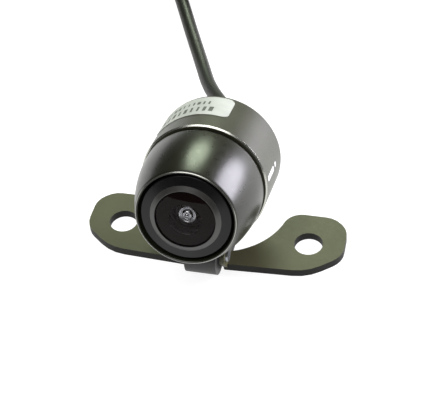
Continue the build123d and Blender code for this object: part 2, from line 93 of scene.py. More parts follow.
def add(tree, kind, feeds=None, **settings):
    """Adds a node: settings are its properties, feeds the values or links of its inputs."""
    made = tree.nodes.new(kind)
    for name, value in settings.items():
        setattr(made, name, value)
    for name, value in (feeds or {}).items():
        if isinstance(value, bpy.types.NodeSocket):
            tree.links.new(value, made.inputs[name])
        else:
            made.inputs[name].default_value = value
    return made


def new_material(name):
    """An empty node material and its tree, with the object's own coordinates ready."""
    made = bpy.data.materials.new(name)
    made.use_nodes = True
    made.node_tree.nodes.clear()
    place = add(made.node_tree, "ShaderNodeTexCoord").outputs["Object"]
    return made, made.node_tree, place


def coated(name, shades, patch, rough, grain, depth, **sockets):
    """A moulded, painted or extruded surface. Its colour wanders between two shades over
    patch mm, and its roughness and relief follow a grain of that many mm and depth."""
    made, tree, place = new_material(name)
    wander = add(tree, "ShaderNodeTexNoise", {
        "Vector": place, "Scale": 1 / (patch * MM), "Detail": 3.0})
    ramp = add(tree, "ShaderNodeValToRGB", {"Fac": wander.outputs["Fac"]})
    for stop, at, shade in zip(ramp.color_ramp.elements, (0.35, 0.65), shades):
        stop.position, stop.color = at, colour(shade)
    skin = add(tree, "ShaderNodeTexNoise", {
        "Vector": place, "Scale": 1 / (grain * MM), "Detail": 2.0})
    gloss = add(tree, "ShaderNodeMapRange", {
        "Value": skin.outputs["Fac"], "From Min": 0.3, "From Max": 0.7,
        "To Min": rough[0], "To Max": rough[1]})
    relief = add(tree, "ShaderNodeBump", {
        "Height": skin.outputs["Fac"], "Strength": 1.0, "Distance": depth * MM})
    shader = add(tree, "ShaderNodeBsdfPrincipled", {
        "Base Color": ramp.outputs["Color"], "Roughness": gloss.outputs["Result"],
        "Normal": relief.outputs["Normal"], **sockets})
    add(tree, "ShaderNodeOutputMaterial", {"Surface": shader.outputs["BSDF"]})
    return made


def mesh_piece(name, points, faces, *finishes):
    """A smooth piece from points in mm, with every face turned outwards."""
    mesh = bpy.data.meshes.new(name)
    mesh.from_pydata([Vector(p) * MM for p in points], [], faces)
    body = bmesh.new()
    body.from_mesh(mesh)
    bmesh.ops.remove_doubles(body, verts=body.verts, dist=1e-7)
    bmesh.ops.recalc_face_normals(body, faces=body.faces)
    body.to_mesh(mesh)
    body.free()
    mesh.shade_smooth()
    for finish in finishes:
        mesh.materials.append(finish)
    made = bpy.data.objects.new(name, mesh)
    scene.collection.objects.link(made)
    return made


def tube(path, radius):
    """Points and faces of a round tube along a path in mm, closed at both ends."""
    sides = 24
    points, faces = [], []
    side = Vector((1, 0, 0))
    for i, here in enumerate(path):
        along = (path[min(i + 1, len(path) - 1)] - path[max(i - 1, 0)]).normalized()
        side = (side - along * side.dot(along)).normalized()
        over = along.cross(side)
        for k in range(sides):
            t = 2 * math.pi * k / sides
            points.append(here + (side * math.cos(t) + over * math.sin(t)) * radius)
    for i in range(len(path) - 1):
        for k in range(sides):
            n = (k + 1) % sides
            faces.append((i * sides + k, i * sides + n, (i + 1) * sides + n, (i + 1) * sides + k))
    faces.append(tuple(range(sides)))
    faces.append(tuple(len(points) - 1 - k for k in range(sides)))
    return points, faces


seal_low, seal_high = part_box("lens_seal")
rear_low, rear_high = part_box("housing_seal")
FRONT_SEAL = 2.05                        # how far the front O-ring lies behind the lip
BACKWARD = ((rear_low + rear_high) - (seal_low + seal_high)).normalized()
LIP = (seal_low + seal_high) / 2 / MM - BACKWARD * FRONT_SEAL
UPWARD = Vector((1, 0, 0)).cross(BACKWARD)
STRAIN_END = 36.4                        # end of the strain relief, behind the lip
STRAIGHT = 7.6                           # how far the lead runs on straight from there


def on_head(x, along, height):
    """A point of the head: across, behind the lip and above its axis, in mm."""
    return LIP + Vector((x, 0, 0)) + BACKWARD * along + UPWARD * height


lead_exit = on_head(0, STRAIN_END, 0)
run_out = [lead_exit, on_head(0, STRAIN_END + STRAIGHT, 0), Vector((-4.3, 31.4, 9.4)),
           Vector((-10.8, 41.9, 5.5)), Vector((-15.3, 52.6, 2.9)), Vector((-21.3, 65.7, 1.75)),
           Vector((-27.2, 78.6, LEAD_R)), Vector((-32.6, 89.7, LEAD_R)),
           Vector((-36.0, 97.4, LEAD_R))]
coil_low, coil_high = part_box("cable_coil")
coil_middle = (coil_low + coil_high) / 2 / MM
PER_TURN = 16
OUTER_TURN, INNER_TURN, TOP_TURN = 20.2, 16.8, 18.5
# where each turn of the coil lies: its distance from the middle, and its height
slots = [(OUTER_TURN, LEAD_R), (INNER_TURN, LEAD_R), (INNER_TURN, 3 * LEAD_R),
         (OUTER_TURN, 3 * LEAD_R), (TOP_TURN, 5 * LEAD_R)]
SLOT_TURN, CHANGE_TURN = 310.0, 50.0     # degrees in a slot, of which the last cross over
FIRST_ANGLE, COIL_TURN = 186.0, 1512.0
hold = 1 / math.cos(math.pi / PER_TURN)  # the spline cuts inside its control points
coil_run = []
for k in range(round(COIL_TURN / 360 * PER_TURN) + 1):
    gone = k * 360 / PER_TURN
    slot = min(int(gone / SLOT_TURN), len(slots) - 1)
    here, after = slots[slot], slots[min(slot + 1, len(slots) - 1)]
    change = max(0.0, (gone - (slot + 1) * SLOT_TURN) / CHANGE_TURN + 1)
    if slot == len(slots) - 1:
        change = 0.0
    reach = (here[0] + (after[0] - here[0]) * change) * hold
    angle = math.radians(FIRST_ANGLE - gone)
    coil_run.append(Vector((coil_middle.x + reach * math.cos(angle),
                            coil_middle.y + reach * math.sin(angle),
                            here[1] + (after[1] - here[1]) * change)))
tail_run = [coil_middle.xy.to_3d() + Vector(p) for p in (
    (2.5, 20.3, 8.5), (6.5, 22.2, 7.2), (11.0, 22.9, 4.9), (16.5, 22.9, 4.8))]
route = run_out + coil_run + tail_run

line = bpy.data.curves.new("lead_line", "CURVE")
line.dimensions = "3D"
line.resolution_u = 12
spline = line.splines.new("NURBS")
spline.points.add(len(route) - 1)
for point, place in zip(spline.points, route):
    point.co = (*(place * MM), 1)
spline.order_u = 3
spline.use_endpoint_u = True
guide = bpy.data.objects.new("lead_line", line)
scene.collection.objects.link(guide)
drawn = bpy.data.meshes.new_from_object(
    guide.evaluated_get(bpy.context.evaluated_depsgraph_get()))
lead_path = [v.co / MM for v in drawn.vertices]
bpy.data.objects.remove(guide)

lead_jacket = coated("pvc_lead_jacket_extruded", ("#181914", "#20211b"), 9.0, (0.38, 0.5),
                     0.5, 0.01, **{"Specular IOR Level": 0.4})
lead = mesh_piece("lead", *tube(lead_path, LEAD_R), lead_jacket)
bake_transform(lead)
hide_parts("camera_cable", "cable_coil", "cable_tail")

# ------------------------------------------------------------------------------- coil tie
# A flat nylon strap holds the coil's turns together, 4.5 mm wide, with a moulded buckle
# on top. It is injection moulded, so it is smooth with fine cross teeth.
tie_low, tie_high = (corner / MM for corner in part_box("coil_tie"))
tie_middle = (tie_low + tie_high) / 2
STRAP, STRAP_WIDE = 0.55, 4.5
square = ((-1, -1), (1, -1), (1, 1), (-1, 1))
strap_black = coated("nylon_strap_moulded", ("#17181a", "#1e1f20"), 4.0, (0.38, 0.5), 0.35, 0.01)


def rounded(corners, hold=0.0):
    """Points round a closed outline of (a, b, radius) corners. hold adds a point just
    outside each arc, which keeps the shading of flat faces flat."""
    out = []
    for i, (a, b, radius) in enumerate(corners):
        here = Vector((a, b))
        before = Vector(corners[i - 1][:2]) - here
        after = Vector(corners[(i + 1) % len(corners)][:2]) - here
        if radius == 0 or before.length < 1e-9 or after.length < 1e-9:
            out.append(here)
            continue
        half = before.angle(after) / 2
        reach = min(radius / math.tan(half), 0.47 * before.length, 0.47 * after.length)
        centre = here + (before.normalized() + after.normalized()).normalized() * (
            reach / math.cos(half))
        first = here + before.normalized() * reach - centre
        last = here + after.normalized() * reach - centre
        begin = math.atan2(first.y, first.x)
        sweep = (math.atan2(last.y, last.x) - begin + math.pi) % (2 * math.pi) - math.pi
        steps = max(3, math.ceil(abs(sweep) / math.radians(15)))
        if hold:
            out.append(here + before.normalized() * min(reach * (1 + hold), before.length / 2))
        for k in range(steps + 1):
            t = begin + sweep * k / steps
            out.append(centre + Vector((math.cos(t), math.sin(t))) * first.length)
        if hold:
            out.append(here + after.normalized() * min(reach * (1 + hold), after.length / 2))
    return out


def slab(name, outline, low, high, place, *finishes, holes=()):
    """A flat-sided solid in mm: an outline with holes, from low to high. place puts
    (a, b, height) in the frame."""
    body = bmesh.new()
    edges = []
    for loop in [outline, *holes]:
        ring = [body.verts.new(place(a, b, low) * MM) for a, b in loop]
        edges += [body.edges.new(pair) for pair in zip(ring, ring[1:] + ring[:1])]
    filled = bmesh.ops.triangle_fill(body, use_beauty=True, edges=edges)
    flat = [g for g in filled["geom"] if isinstance(g, bmesh.types.BMFace)]
    raised = bmesh.ops.extrude_face_region(body, geom=flat)
    lift = (place(0, 0, high) - place(0, 0, low)) * MM
    bmesh.ops.translate(body, vec=lift, verts=[
        g for g in raised["geom"] if isinstance(g, bmesh.types.BMVert)])
    bmesh.ops.recalc_face_normals(body, faces=body.faces)
    mesh = bpy.data.meshes.new(name)
    body.to_mesh(mesh)
    body.free()
    for finish in finishes:
        mesh.materials.append(finish)
    made = bpy.data.objects.new(name, mesh)
    scene.collection.objects.link(made)
    return made


def eased(made, width):
    """Rounds the sharp edges of a piece by width mm and keeps the result as its mesh."""
    made.data.shade_smooth()
    bevel = made.modifiers.new("ease", "BEVEL")
    bevel.width = width * MM
    bevel.segments = 3
    bevel.limit_method = "ANGLE"
    bevel.angle_limit = math.radians(35)
    bevel.harden_normals = True
    bevel.use_clamp_overlap = True
    mesh = bpy.data.meshes.new_from_object(
        made.evaluated_get(bpy.context.evaluated_depsgraph_get()))
    made.modifiers.remove(bevel)
    made.data = mesh
    return made


def joined(name, *pieces):
    """Several pieces as one."""
    with bpy.context.temp_override(active_object=pieces[0], selected_editable_objects=pieces):
        bpy.ops.object.join()
    pieces[0].name = pieces[0].data.name = name
    return pieces[0]


half_x = (tie_high.x - tie_low.x) / 2
half_z = (tie_high.z - tie_low.z) / 2
outer = rounded([(x * half_x, z * half_z, 1.5) for x, z in square])
inner = rounded([(x * (half_x - STRAP), z * (half_z - STRAP), 1.0) for x, z in square])
strap = slab("strap", outer, -STRAP_WIDE / 2, STRAP_WIDE / 2,
             lambda a, b, h: tie_middle + Vector((a, h, b)), strap_black, holes=[inner])
buckle = slab("buckle", rounded([(x * 1.9, y * 2.2, 0.5) for x, y in square]),
              half_z - 0.35, half_z + 0.2,
              lambda a, b, h: tie_middle + Vector((a, b, h)), strap_black)
coil_strap = joined("coil_strap", eased(strap, 0.12), eased(buckle, 0.15))
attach(coil_strap, "bracket")
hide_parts("coil_tie")

# ------------------------------------------------------------------------------- plug
# A push-fit plug is moulded onto the lead in black PVC, with grip grooves and a tapered
# boot. Its insert is harder black nylon, with four gold-plated pins in a ring.
PLUG_FOOT = tail_run[-1]


def turned(corners, place, sides=144, hold=0.6):
    """Points and faces of a piece turned in a lathe, from (radius, along, rounding)
    corners of its closed section. place puts (across, along, up) in the frame."""
    points, faces, rings = [], [], []
    for radius, along in rounded(corners, hold):
        if radius < 1e-6:
            rings.append([len(points)] * sides)
            points.append(place(0, along, 0))
            continue
        rings.append(list(range(len(points), len(points) + sides)))
        for k in range(sides):
            t = 2 * math.pi * k / sides
            points.append(place(radius * math.sin(t), along, radius * math.cos(t)))
    for near, far in zip(rings, rings[1:] + rings[:1]):
        for k in range(sides):
            n = (k + 1) % sides
            face = tuple(dict.fromkeys((near[k], near[n], far[n], far[k])))
            if len(face) > 2:
                faces.append(face)
    return points, faces


def on_plug(x, along, height):
    """A point of the plug: across, along its axis from the lead, and above the axis."""
    return PLUG_FOOT + Vector((along, -x, height))


plug_pvc = coated("pvc_plug_moulded", ("#1b1c1c", "#232423"), 6.0, (0.42, 0.55), 0.3, 0.02)
section = [(0, 0, 0), (2.1, 0, 0.3), (2.5, 3.0, 2), (3.3, 7.5, 2), (4.8, 9.0, 0.7)]
for k in range(4):
    groove = 12.0 + 2.6 * k
    section += [(4.8, groove, 0.25), (4.3, groove + 0.3, 0.2), (4.3, groove + 1.0, 0.2),
                (4.8, groove + 1.3, 0.25)]
section += [(4.8, 26.0, 0.5), (0, 26.0, 0)]
plug_body = mesh_piece("plug_body", *turned(section, on_plug, 96), plug_pvc)
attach(plug_body, "bracket")
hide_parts("cable_plug")

insert_nylon = coated("nylon_insert_moulded", ("#101112", "#17181a"), 5.0, (0.3, 0.42), 0.4, 0.01)
insert = mesh_piece("plug_insert_body", *turned(
    [(0, 25.4, 0), (3.3, 25.4, 0.1), (3.3, 29.5, 0.25), (2.85, 29.5, 0.12), (2.85, 27.2, 0.1),
     (0, 27.2, 0)], on_plug, 72), insert_nylon)
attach(insert, "bracket")
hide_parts("plug_insert")


def grown(made, tree, **values):
    """Runs a Geometry Nodes tree on a piece and keeps what it makes as its mesh."""
    growth = made.modifiers.new("growth", "NODES")
    growth.node_group = tree
    for item in tree.interface.items_tree:
        if item.in_out == "INPUT" and item.name in values:
            growth[item.identifier] = values[item.name]
    mesh = bpy.data.meshes.new_from_object(
        made.evaluated_get(bpy.context.evaluated_depsgraph_get()))
    made.modifiers.remove(growth)
    made.data = mesh
    return made


def new_growth(name, **sockets):
    """An empty Geometry Nodes tree with named inputs, and its input and output nodes."""
    tree = bpy.data.node_groups.new(name, "GeometryNodeTree")
    tree.interface.new_socket("Geometry", in_out="INPUT", socket_type="NodeSocketGeometry")
    for title, kind in sockets.items():
        tree.interface.new_socket(title, in_out="INPUT", socket_type="NodeSocket" + kind)
    tree.interface.new_socket("Geometry", in_out="OUTPUT", socket_type="NodeSocketGeometry")
    return tree, add(tree, "NodeGroupInput").outputs


ring_tree, given = new_growth(
    "copies_round_an_axis", Count="Int", Centre="Vector", Axis="Vector", Turn="Float",
    Finish="Material")
spots = add(ring_tree, "GeometryNodePoints", {"Count": given["Count"]})
index = add(ring_tree, "GeometryNodeInputIndex")
step = add(ring_tree, "ShaderNodeMath", {0: index.outputs[0], 1: given["Turn"]},
           operation="MULTIPLY")
spin = add(ring_tree, "FunctionNodeAxisAngleToRotation", {
    "Axis": given["Axis"], "Angle": step.outputs[0]})
arm = add(ring_tree, "FunctionNodeRotateVector", {
    "Vector": given["Centre"], "Rotation": spin.outputs[0]})
shift = add(ring_tree, "ShaderNodeVectorMath", {0: given["Centre"], 1: arm.outputs[0]},
            operation="SUBTRACT")
set_out = add(ring_tree, "GeometryNodeSetPosition", {
    "Geometry": spots.outputs[0], "Position": shift.outputs[0]})
copies = add(ring_tree, "GeometryNodeInstanceOnPoints", {
    "Points": set_out.outputs[0], "Instance": given["Geometry"], "Rotation": spin.outputs[0]})
real = add(ring_tree, "GeometryNodeRealizeInstances", {"Geometry": copies.outputs[0]})
dressed = add(ring_tree, "GeometryNodeSetMaterial", {
    "Geometry": real.outputs[0], "Material": given["Finish"]})
add(ring_tree, "NodeGroupOutput", {"Geometry": dressed.outputs[0]})


def metal(name, shade, worn, rough, grain, stretch):
    """Bare or plated metal, with fine tool marks grain mm apart drawn out along stretch."""
    made, tree, place = new_material(name)
    drawn_out = add(tree, "ShaderNodeMapping", {"Vector": place, "Scale": stretch})
    marks = add(tree, "ShaderNodeTexNoise", {
        "Vector": drawn_out.outputs["Vector"], "Scale": 1 / (grain * MM), "Detail": 4.0})
    tint = add(tree, "ShaderNodeMix", {
        "Factor": marks.outputs["Fac"], 6: colour(shade), 7: colour(worn)}, data_type="RGBA")
    gloss = add(tree, "ShaderNodeMapRange", {
        "Value": marks.outputs["Fac"], "To Min": rough[0], "To Max": rough[1]})
    relief = add(tree, "ShaderNodeBump", {
        "Height": marks.outputs["Fac"], "Strength": 0.6, "Distance": 0.004 * MM})
    shader = add(tree, "ShaderNodeBsdfPrincipled", {
        "Base Color": tint.outputs[2], "Roughness": gloss.outputs["Result"],
        "Normal": relief.outputs["Normal"], "Metallic": 1.0})
    add(tree, "ShaderNodeOutputMaterial", {"Surface": shader.outputs["BSDF"]})
    return made


gold_plate = metal("brass_contact_gold_plated", "#c9a24a", "#e0be6c", (0.18, 0.32), 0.2, (1, 8, 8))
PIN_OUT, PINS = 1.6, 4
pins = mesh_piece("plug_pins", *turned(
    [(0, 27.0, 0), (0.4, 27.0, 0.05), (0.4, 29.0, 0.15), (0.15, 29.3, 0.08), (0, 29.3, 0)],
    lambda x, along, z: on_plug(x, along, z + PIN_OUT), 24), gold_plate)
grown(pins, ring_tree, Count=PINS, Centre=PLUG_FOOT * MM, Axis=(1, 0, 0),
      Turn=2 * math.pi / PINS, Finish=gold_plate)
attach(pins, "bracket")
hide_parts("plug_contacts")

# ------------------------------------------------------------------------------- bracket
# Butterfly bracket, pressed from 1.9 mm zinc and sprayed a satin dark olive grey. The
# paint has a fine orange peel. Its sheared sides are painted near-black: painted shade of the
# sides turned away from the light, over paint that is thin there.
EAR_X, EAR_OUT, EAR_BACK, EAR_FRONT = 20.75, 7.65, 8.3, 7.8
WAIST_FRONT = 8.8
SCALLOP_R, SCALLOP_Y, EAR_FILLET = 15.0, 9.5, 4.2
PLATE_T = 1.9
HOLE_R = 3.1
NOTCH, NOTCH_BACK = 3.75, -4.47
PAD_SIDE, PAD_BACK = 4.75, 1.0

bracket_paint = coated("zinc_bracket_satin_paint", ("#40402a", "#47462f"), 7.0, (0.44, 0.54),
                       0.35, 0.004, **{"Specular IOR Level": 0.35})
# near-black for the sheared sides: painted shade of the sides turned away from the light
sheared_edge_painted_shade = coated("zinc_bracket_edge_painted_shade", ("#0c0c09", "#13130d"), 3.0, (0.45, 0.6),
                    0.2, 0.02, **{"Specular IOR Level": 0.2})
fillet_x = math.sqrt((SCALLOP_R + EAR_FILLET) ** 2 - (SCALLOP_Y - EAR_BACK + EAR_FILLET) ** 2)
fillet_y = EAR_BACK - EAR_FILLET
slope = math.atan2(fillet_y - SCALLOP_Y, fillet_x)
front_at_notch = -WAIST_FRONT + (WAIST_FRONT - EAR_FRONT) * NOTCH / (EAR_X + 1.1)
right = [(NOTCH, NOTCH_BACK, 0), (NOTCH, front_at_notch, 0.4), (EAR_X + 1.1, -EAR_FRONT, 10.0),
         (EAR_X + EAR_OUT + 0.2, -EAR_FRONT + 5.4, 5.0), (EAR_X + EAR_OUT, EAR_BACK - 3.0, 4.4),
         (EAR_X + EAR_OUT - 3.2, EAR_BACK, 5.0)]
for k in range(13):
    t = math.radians(90) + (math.pi + slope - math.radians(90)) * k / 12
    right.append((fillet_x + EAR_FILLET * math.cos(t), fillet_y + EAR_FILLET * math.sin(t), 0))
pad_angle = -math.acos(PAD_SIDE / SCALLOP_R)
for k in range(1, 25):
    t = slope + (pad_angle - slope) * k / 24
    right.append((SCALLOP_R * math.cos(t), SCALLOP_Y + SCALLOP_R * math.sin(t), 0))
right.append((PAD_SIDE, PAD_BACK, 1.0))
outline = rounded(right + [(-x, y, r) for x, y, r in reversed(right)])
hole_loops = [[(side * EAR_X + HOLE_R * math.cos(2 * math.pi * k / 64),
                HOLE_R * math.sin(2 * math.pi * k / 64)) for k in range(64)] for side in (-1, 1)]
plate = slab("plate", outline, 0, PLATE_T, lambda a, b, h: Vector((a, b, h)), bracket_paint,
             sheared_edge_painted_shade, holes=hole_loops)
eased(plate, 0.24)
# the side faces take the near-black painted shade, the top and bottom the paint
for face in plate.data.polygons:
    face.material_index = int(abs(face.normal.z) < 0.5)

PIVOT_Y, PIVOT_Z = -8.54, 5.05
LUG_R, LUG_BACK, LUG_THICK = 2.4, 4.7, 1
lug_outline = [(PIVOT_Y + 0.3, 0.35), (PIVOT_Y + LUG_BACK, 0.35), (PIVOT_Y + LUG_BACK, 1.6)]
for k in range(21):
    t = math.radians(29 + 185 * k / 20)
    lug_outline.append((PIVOT_Y + LUG_R * math.cos(t), PIVOT_Z + LUG_R * math.sin(t)))
lugs = [eased(slab("lug", lug_outline, x, x + LUG_THICK, lambda a, b, h: Vector((h, a, b)),
                   bracket_paint), 0.15) for x in (-PAD_SIDE, NOTCH)]
NOTCH_R, RAMP_TOP = 5.15, PLATE_T - 0.02
ramp_outline = [(NOTCH_BACK + 0.1, 0), (NOTCH_BACK + 0.1, RAMP_TOP)]
for k in range(13):
    z = RAMP_TOP * (1 - k / 12)
    ramp_outline.append((PIVOT_Y + math.sqrt(NOTCH_R ** 2 - (PIVOT_Z - z) ** 2), z))
ramp = slab("ramp", ramp_outline, -NOTCH, NOTCH, lambda a, b, h: Vector((h, a, b)), bracket_paint)
ramp.data.shade_smooth()
ramp.data.set_sharp_from_angle(angle=math.radians(35))
bracket = joined("bracket_plate", plate, *lugs, ramp)
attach(bracket, "bracket")
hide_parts("mount_plate")

# ------------------------------------------------------------------------------- foot
# The head stands on a round-ended foot, cast in zinc and painted like the housing, with
# a heel that stops on the bracket. It turns on the pivot screw between the lugs.
FOOT_HALF, FOOT_R = 3.4, 4.6
PIVOT_ALONG, PIVOT_UNDER = 15.51, 16.74
HEEL_BACK, PAD_END, INTO_HOUSING = 24.6, 25.8, -12.6
foot_paint = coated("zinc_foot_satin_paint", ("#20201e", "#272724"), 5.0, (0.42, 0.54), 0.35,
                    0.006)
foot_outline = [(15.25, INTO_HOUSING, 0), (15.25, -13.38, 0)]
for k in range(29):
    t = math.radians(133 + 205 * k / 28)
    foot_outline.append((PIVOT_ALONG + FOOT_R * math.cos(t), -PIVOT_UNDER + FOOT_R * math.sin(t), 0))
foot_outline += [(20.4, -18.44, 0.2), (HEEL_BACK, -17.12, 0.35), (HEEL_BACK, -14.9, 0.4),
                 (PAD_END, -14.7, 0.35), (PAD_END, INTO_HOUSING, 0)]
foot = slab("foot", rounded(foot_outline), -FOOT_HALF, FOOT_HALF,
            lambda a, b, h: on_head(h, a, b), foot_paint)
eased(foot, 0.3)
foot.name = foot.data.name = "foot_casting"
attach(foot, "head")
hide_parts("tilt_foot")

# ------------------------------------------------------------------------------- fasteners
# Zinc-plated steel pivot screw with its end clip, two nylon washers beside the foot, and
# the small screws inside. They keep their CAD shape.
zinc_steel = metal("steel_screw_zinc_plated", "#8f9296", "#b4b7ba", (0.28, 0.42), 0.25, (1, 6, 6))


def finished(finish, *nodes):
    """Gives parts that keep their CAD shape their finish."""
    for node in nodes:
        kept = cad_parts[node].data.materials
        kept.clear()
        kept.append(finish)


finished(zinc_steel, "pivot_screw", "pivot_clip", "foot_screws", "board_screws", "holder_screws")
finished(strap_black, "friction_washers")

# ------------------------------------------------------------------------------- housing
# Rear half of the case, a turned aluminium cup sprayed satin olive grey. The chamfer on
# its front rim is turned bright after painting.
HOUSING_R, SHELL_LEN, HEAD_LEN = 13.4, 14.9, 29.4
RIM = 0.28


def on_axis(face):
    """How far a face lies behind the lip, and how far out from the head's axis, in mm."""
    spot = face.center / MM - LIP
    along = spot.dot(BACKWARD)
    return along, (spot - BACKWARD * along).length


housing_paint = coated("aluminium_housing_satin_paint", ("#28281a", "#2f2f20"), 9.0,
                       (0.36, 0.46), 0.35, 0.006, **{"Coat Weight": 0.15, "Coat Roughness": 0.3})
rim_metal = metal("aluminium_rim_turned", "#a8a8a0", "#c6c6be", (0.2, 0.32), 0.15, (1, 6, 6))
housing = mesh_piece("housing_cup", *turned(
    [(12.5, SHELL_LEN, 0.05), (HOUSING_R - RIM, SHELL_LEN, 0.03), (HOUSING_R, SHELL_LEN + RIM, 0.03),
     (HOUSING_R, HEAD_LEN, 0.45), (2.6, HEAD_LEN, 0.1), (2.6, 27.9, 0), (11.9, 27.9, 0.3),
     (11.9, 19.75, 0), (12.5, 19.75, 0)], on_head, 192), housing_paint, rim_metal)
for face in housing.data.polygons:
    along, out = on_axis(face)
    if along < SHELL_LEN + RIM + 0.02 and out > HOUSING_R - RIM - 0.04:
        face.material_index = 1
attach(housing, "head")
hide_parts("rear_housing")

# ------------------------------------------------------------------------------- strain relief
# Black rubber grommet pressed into the housing's rear face, tapering along the lead with
# shallow flex rings.
rubber = coated("rubber_moulded", ("#141414", "#1c1c1b"), 4.0, (0.5, 0.66), 0.25, 0.02)
relief_section = [(LEAD_R, 27.2, 0), (3.4, 27.2, 0.1), (3.4, 27.9, 0), (2.6, 27.9, 0),
                  (2.6, HEAD_LEN, 0), (3.5, HEAD_LEN, 0.1), (3.5, 30.4, 0.3)]
for k in range(4):
    start = 30.8 + 1.25 * k
    wide = 2.62 - 0.09 * k
    relief_section += [(wide, start, 0.12), (wide, start + 0.8, 0.12),
                       (wide - 0.3, start + 0.85, 0.08), (wide - 0.3, start + 1.2, 0.08)]
relief_section += [(2.22, 35.9, 0.1), (2.1, STRAIN_END, 0.15), (LEAD_R, STRAIN_END, 0)]
grommet = mesh_piece("strain_relief", *turned(relief_section, on_head, 72), rubber)
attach(grommet, "head")
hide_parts("cable_gland")

# ------------------------------------------------------------------------------- front shell
# Front half of the case, a barrel turned in aluminium and sprayed near-black in a smooth
# semi-gloss, with a fine bright edge round the lip. Its neck goes into the housing.
WIDEST, SHELL_R, LIP_R = 13.6, 12.9, 10.4
shell_paint = coated("aluminium_shell_gloss_paint", ("#17170f", "#1c1c13"), 12.0, (0.27, 0.31),
                     1.5, 0.0006, **{"Specular IOR Level": 0.45})
lip_metal = metal("aluminium_lip_turned", "#8c8c86", "#a8a8a2", (0.2, 0.34), 0.15, (1, 6, 6))
bow = (WIDEST ** 2 + (SHELL_R - LIP_R) ** 2) / (2 * (SHELL_R - LIP_R))
shell_section = [(9.95, 0.1, 0.03), (10.05, 0, 0.02), (LIP_R - 0.16, 0, 0.02),
                 (LIP_R - 0.03, 0.12, 0.03)]
for k in range(41):
    along = 0.3 + (WIDEST - 0.3) * k / 40
    shell_section.append((SHELL_R - bow + math.sqrt(bow ** 2 - (WIDEST - along) ** 2), along, 0))
shell_section += [(12.87, 13.8, 0), (12.76, 13.98, 0), (12.6, 14.12, 0), (12.4, 14.2, 0.1),
                  (12.4, 16.2, 0), (11.45, 16.2, 0), (11.45, 17.4, 0), (12.4, 17.4, 0),
                  (12.4, 19.6, 0.1), (11.0, 19.6, 0), (11.0, 8.2, 1.0), (9.5, 3.3, 0.3),
                  (8.2, 3.3, 0), (8.2, 1.75, 0), (9.95, 1.75, 0)]
shell = mesh_piece("shell_barrel", *turned(shell_section, on_head, 192), shell_paint, lip_metal)
for face in shell.data.polygons:
    along, out = on_axis(face)
    if along < 0.125 and out > LIP_R - 0.17:
        face.material_index = 1
BOSS_AT, BOSSES = 9.0, 3
boss = mesh_piece("boss", *turned(
    [(0, 5.9, 0), (1.5, 5.9, 0), (1.5, 18.2, 0.1), (0.7, 18.2, 0), (0.7, 13.2, 0), (0, 13.2, 0)],
    lambda x, along, z: on_head(x, along, z + BOSS_AT), 32), shell_paint)
grown(boss, ring_tree, Count=BOSSES, Centre=LIP * MM, Axis=BACKWARD, Turn=2 * math.pi / BOSSES,
      Finish=shell_paint)
shell = joined("shell_barrel", shell, boss)
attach(shell, "head")
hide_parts("front_shell")

# ------------------------------------------------------------------------------- bezel
# Flat ring pressed into the lip, moulded in matte black nylon with a fine spark-eroded
# texture. A satin anodised cone stands round the lens and holds it.
bezel_nylon = coated("nylon_bezel_moulded", ("#0b0b0b", "#101010"), 3.0, (0.18, 0.27), 0.16,
                     0.003, **{"Specular IOR Level": 0.28})
retainer_satin = coated("aluminium_retainer_anodised", ("#282725", "#302f2c"), 2.0,
                        (0.3, 0.38), 0.2, 0.004, **{"Specular IOR Level": 0.8})
CONE_R, CONE_END = 7.36, 0.05
bezel = mesh_piece("bezel_ring", *turned(
    [(6.26, -0.48, 0.04), (6.36, -0.5, 0.04), (7.3, 0.02, 0.1), (7.42, 0.04, 0.03), (9.2, 0.4, 0.1),
     (9.35, 0.58, 0.08), (9.35, 1.75, 0), (6.26, 1.75, 0)], on_head, 192), bezel_nylon, retainer_satin)
for face in bezel.data.polygons:
    along, out = on_axis(face)
    if along < CONE_END and out < CONE_R:
        face.material_index = 1
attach(bezel, "head")
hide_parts("front_bezel")

# ------------------------------------------------------------------------------- lens
# Wide-angle lens: a domed front glass with a hollow back, seated in a black anodised barrel.
# A near-opaque dark sheet over the glass's margin is painted shade. A second glass stands up into
# the hollow, and the silver on its steps is a painted reflection that shines in the middle. Behind it
# are spacer rings, the stop, and two small glasses.
LENS_R, CLEAR_R, SEAT = 6.2, 3.3, 3.6
DOME, HOLLOW = 40.0, 4.55                # radii of the front and of the hollow back
APEX, MIDDLE = -0.7, 0.9                 # the dome's top, and its thickness there
STEPS_END = 2.25                         # how far back the second glass carries the silver of the painted reflection


def glass_under_tinted_sheet(name, tint, solid, index):
    """Polished optical glass behind a tinted sheet, with the gloss of its coating. The solid
    share shows the sheet's tint and the gloss, the rest lets what lies behind it through. A
    dark sheet is painted shade over the view into the lens."""
    made, tree, place = new_material(name)
    haze = add(tree, "ShaderNodeTexNoise", {"Vector": place, "Scale": 1 / (4 * MM), "Detail": 1.0})
    gloss = add(tree, "ShaderNodeMapRange", {
        "Value": haze.outputs["Fac"], "To Min": 0.01, "To Max": 0.05})
    film = add(tree, "ShaderNodeBsdfPrincipled", {
        "Base Color": colour(tint), "Roughness": gloss.outputs["Result"], "IOR": index})
    clear = add(tree, "ShaderNodeBsdfTransparent", {"Color": colour("#ffffff")})
    mixed = add(tree, "ShaderNodeMixShader", {
        0: solid, 1: clear.outputs[0], 2: film.outputs[0]})
    add(tree, "ShaderNodeOutputMaterial", {"Surface": mixed.outputs[0]})
    return made


# the front glass's dark sheet is painted shade over the view into the lens, with the coating's gloss
front_glass = glass_under_tinted_sheet("optical_glass_front_coating_and_painted_shade", "#170c0c", 0.3, 1.4)
# near-opaque dark sheet over the front glass's margin: painted shade of the lens's inside
margin_painted_shade_glass = glass_under_tinted_sheet("optical_glass_margin_painted_shade", "#110a09", 0.94, 1.21)
